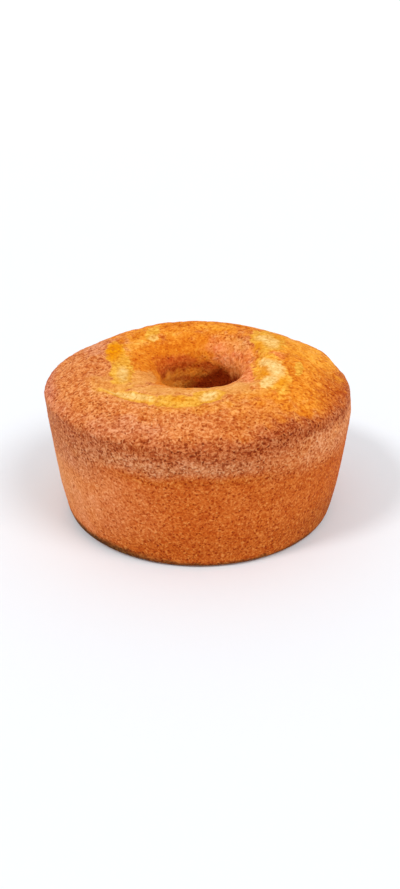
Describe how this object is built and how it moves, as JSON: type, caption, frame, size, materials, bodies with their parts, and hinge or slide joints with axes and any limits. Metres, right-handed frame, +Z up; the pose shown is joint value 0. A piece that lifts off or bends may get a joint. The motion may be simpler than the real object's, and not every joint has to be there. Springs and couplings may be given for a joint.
{
  "type": "cornmeal cake",
  "caption": "Whole ring-shaped cornmeal cake with a domed, browned and split crust, tapered sides and a hole down the middle.",
  "frame": {"origin": "middle of the flat base, on the surface that the cake stands on", "axes": "+Z up along the hole, -Y towards the front, +X to the front's right"},
  "size_m": [0.2197, 0.2189, 0.1175],
  "materials": {
    "crust": "matt browned cornmeal crust, golden on the dome, pale yellow where it has split, darker along the rim and the base"
  },
  "bodies": {
    "root": {"cornmeal_cake": "crust"}
  },
  "joints": []
}
